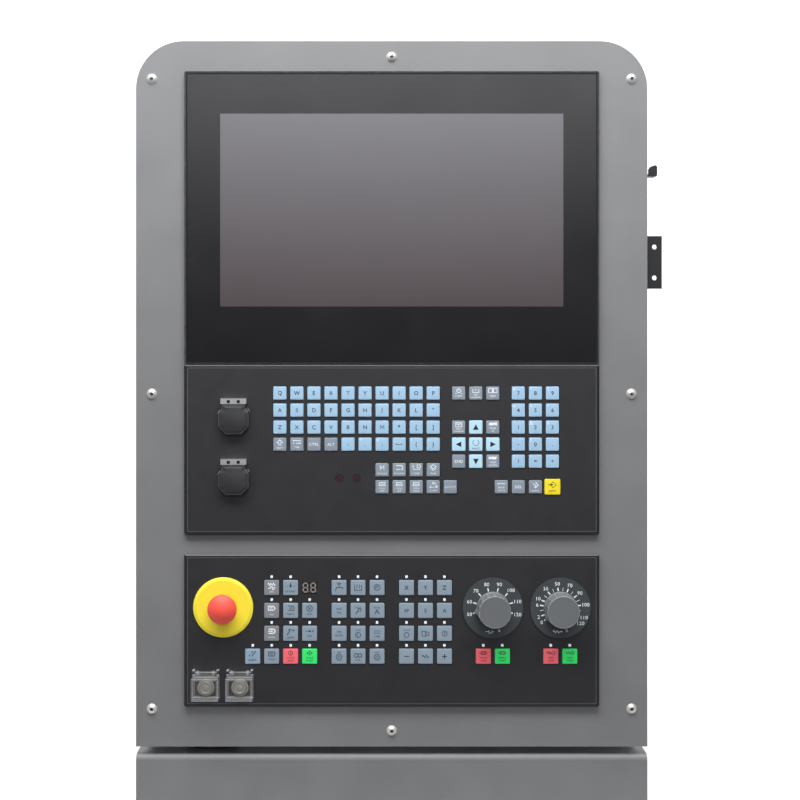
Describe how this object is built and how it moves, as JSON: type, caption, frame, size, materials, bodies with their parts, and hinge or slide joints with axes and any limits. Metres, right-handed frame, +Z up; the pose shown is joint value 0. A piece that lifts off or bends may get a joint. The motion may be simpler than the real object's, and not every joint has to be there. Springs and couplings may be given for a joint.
{
  "type": "cnc operator console",
  "caption": "Swivelling operator console with a display, a keyboard and a machine control unit on a grey panel, on a post above a sheet-metal base.",
  "frame": {"origin": "middle of the base's underside, at the centre of the four anchor holes", "axes": "+Z up, the panel faces -Y, +X to the right seen from the front"},
  "size_m": [0.5345, 0.2224, 0.857],
  "materials": {
    "panel_paint": "fine textured light grey powder coat",
    "post_steel": "semi-matt black",
    "bright_steel": "bright",
    "hinge_metal": "dull grey die casting",
    "bush_bronze": "plain bearing bronze",
    "front_black": "fine matt black",
    "screen_glass": "black-bordered glass",
    "screen": "switched-off screen",
    "unit_metal": "bare sheet",
    "board": "circuit board and cover",
    "letter_key": "pale blue",
    "cursor_key": "light blue",
    "function_key": "grey",
    "machine_key": "blue grey",
    "yellow_key": "yellow",
    "red_key": "red",
    "green_key": "green",
    "lens_red": "dark red window",
    "lens_white": "white lamp window",
    "digits": "unlit digits",
    "part_black": "black",
    "bracket_black": "black",
    "dial": "dark grey",
    "knob": "grey",
    "estop_yellow": "yellow",
    "estop_red": "matt red",
    "guard_clear": "clear plastic",
    "button_grey": "silver grey"
  },
  "bodies": {
    "base": {"base_box": "panel_paint", "base_feet": "panel_paint", "swivel_post": "post_steel", "retaining_collar": "bright_steel"},
    "console": {"front_panel": "panel_paint", "panel_screws": "bright_steel", "housing": "panel_paint", "housing_frames": "panel_paint", "rear_cover": "panel_paint", "rear_cover_screws": "bright_steel", "swivel_bush": "bush_bronze", "display_bezel": "front_black", "display_glass": "screen_glass", "lcd_module": "screen", "control_unit": "unit_metal", "keyboard_front": "front_black", "letter_keys": "letter_key", "number_keys": "letter_key", "function_keys": "function_key", "status_lenses": "lens_red", "port_couplers": "part_black", "port_hinges": "hinge_metal", "machine_front": "front_black", "machine_keys": "machine_key", "led_lenses": "lens_white", "digit_display": "digits", "machine_unit": "board", "estop_collar": "estop_yellow", "estop_body": "part_black", "override_dials": "dial", "override_switches": "part_black", "guard_frames": "guard_clear", "button_bezels": "bright_steel", "button_bodies": "part_black", "side_hook": "bracket_black", "side_bracket": "bracket_black", "side_screws": "bright_steel"},
    "estop_plunger": {"estop_plunger": "bright_steel"},
    "estop_mushroom": {"estop_mushroom": "estop_red"},
    "spindle_knob": {"spindle_knob": "knob"},
    "feed_knob": {"feed_knob": "knob"},
    "upper_port_lid": {"upper_port_lid": "part_black"},
    "lower_port_lid": {"lower_port_lid": "part_black"},
    "left_guard": {"left_guard": "guard_clear"},
    "right_guard": {"right_guard": "guard_clear"},
    "left_button": {"left_button": "button_grey"},
    "right_button": {"right_button": "button_grey"},
    "input_key": {"input_key": "yellow_key"},
    "up_key": {"up_key": "cursor_key"},
    "left_key": {"left_key": "cursor_key"},
    "select_key": {"select_key": "cursor_key"},
    "right_key": {"right_key": "cursor_key"},
    "down_key": {"down_key": "cursor_key"},
    "reset_key": {"reset_key": "letter_key"},
    "cycle_stop_key": {"cycle_stop_key": "red_key"},
    "cycle_start_key": {"cycle_start_key": "green_key"},
    "spindle_stop_key": {"spindle_stop_key": "red_key"},
    "spindle_start_key": {"spindle_start_key": "green_key"},
    "feed_stop_key": {"feed_stop_key": "red_key"},
    "feed_start_key": {"feed_start_key": "green_key"}
  },
  "joints": [
    {"name": "console_swivel", "type": "hinge", "parent": "base", "child": "console", "pos_m": [-0.184, -0.048, 0.154], "axis": [0, 0, 1], "range_deg": [-90, 0]},
    {"name": "estop_push", "type": "slide", "parent": "console", "child": "estop_plunger", "axis": [0, 1, 0], "range_m": [0, 0.0055]},
    {"name": "estop_twist", "type": "hinge", "parent": "estop_plunger", "child": "estop_mushroom", "pos_m": [-0.16875, -0.109, 0.289], "axis": [0, 1, 0], "range_deg": [0, 45], "stiffness_Nm_per_rad": 0.05},
    {"name": "spindle_override", "type": "hinge", "parent": "console", "child": "spindle_knob", "pos_m": [0.10125, -0.115, 0.2885], "axis": [0, 1, 0], "range_deg": [0, 210]},
    {"name": "feed_override", "type": "hinge", "parent": "console", "child": "feed_knob", "pos_m": [0.16875, -0.115, 0.2885], "axis": [0, 1, 0], "range_deg": [0, 255]},
    {"name": "upper_port_lid_hinge", "type": "hinge", "parent": "console", "child": "upper_port_lid", "pos_m": [-0.158, -0.1064, 0.4894], "axis": [-1, 0, 0], "range_deg": [0, 90], "stiffness_Nm_per_rad": 0.008, "springref_deg": -34.38},
    {"name": "lower_port_lid_hinge", "type": "hinge", "parent": "console", "child": "lower_port_lid", "pos_m": [-0.158, -0.1064, 0.4289], "axis": [-1, 0, 0], "range_deg": [0, 90], "stiffness_Nm_per_rad": 0.008, "springref_deg": -34.38},
    {"name": "left_guard_hinge", "type": "hinge", "parent": "console", "child": "left_guard", "pos_m": [-0.18575, -0.1073, 0.2247], "axis": [-1, 0, 0], "range_deg": [0, 100]},
    {"name": "right_guard_hinge", "type": "hinge", "parent": "console", "child": "right_guard", "pos_m": [-0.15175, -0.1073, 0.2247], "axis": [-1, 0, 0], "range_deg": [0, 100]},
    {"name": "left_button_push", "type": "slide", "parent": "console", "child": "left_button", "axis": [0, 1, 0], "range_m": [0, 0.0025], "stiffness_N_per_m": 800, "springref_m": -0.002},
    {"name": "right_button_push", "type": "slide", "parent": "console", "child": "right_button", "axis": [0, 1, 0], "range_m": [0, 0.0025], "stiffness_N_per_m": 800, "springref_m": -0.002},
    {"name": "input_key_push", "type": "slide", "parent": "console", "child": "input_key", "axis": [0, 1, 0], "range_m": [0, 0.0015], "stiffness_N_per_m": 600, "springref_m": -0.001},
    {"name": "up_key_push", "type": "slide", "parent": "console", "child": "up_key", "axis": [0, 1, 0], "range_m": [0, 0.0015], "stiffness_N_per_m": 600, "springref_m": -0.001},
    {"name": "left_key_push", "type": "slide", "parent": "console", "child": "left_key", "axis": [0, 1, 0], "range_m": [0, 0.0015], "stiffness_N_per_m": 600, "springref_m": -0.001},
    {"name": "select_key_push", "type": "slide", "parent": "console", "child": "select_key", "axis": [0, 1, 0], "range_m": [0, 0.0015], "stiffness_N_per_m": 600, "springref_m": -0.001},
    {"name": "right_key_push", "type": "slide", "parent": "console", "child": "right_key", "axis": [0, 1, 0], "range_m": [0, 0.0015], "stiffness_N_per_m": 600, "springref_m": -0.001},
    {"name": "down_key_push", "type": "slide", "parent": "console", "child": "down_key", "axis": [0, 1, 0], "range_m": [0, 0.0015], "stiffness_N_per_m": 600, "springref_m": -0.001},
    {"name": "reset_key_push", "type": "slide", "parent": "console", "child": "reset_key", "axis": [0, 1, 0], "range_m": [0, 0.0015], "stiffness_N_per_m": 600, "springref_m": -0.001},
    {"name": "cycle_stop_key_push", "type": "slide", "parent": "console", "child": "cycle_stop_key", "axis": [0, 1, 0], "range_m": [0, 0.0015], "stiffness_N_per_m": 600, "springref_m": -0.001},
    {"name": "cycle_start_key_push", "type": "slide", "parent": "console", "child": "cycle_start_key", "axis": [0, 1, 0], "range_m": [0, 0.0015], "stiffness_N_per_m": 600, "springref_m": -0.001},
    {"name": "spindle_stop_key_push", "type": "slide", "parent": "console", "child": "spindle_stop_key", "axis": [0, 1, 0], "range_m": [0, 0.0015], "stiffness_N_per_m": 600, "springref_m": -0.001},
    {"name": "spindle_start_key_push", "type": "slide", "parent": "console", "child": "spindle_start_key", "axis": [0, 1, 0], "range_m": [0, 0.0015], "stiffness_N_per_m": 600, "springref_m": -0.001},
    {"name": "feed_stop_key_push", "type": "slide", "parent": "console", "child": "feed_stop_key", "axis": [0, 1, 0], "range_m": [0, 0.0015], "stiffness_N_per_m": 600, "springref_m": -0.001},
    {"name": "feed_start_key_push", "type": "slide", "parent": "console", "child": "feed_start_key", "axis": [0, 1, 0], "range_m": [0, 0.0015], "stiffness_N_per_m": 600, "springref_m": -0.001}
  ]
}
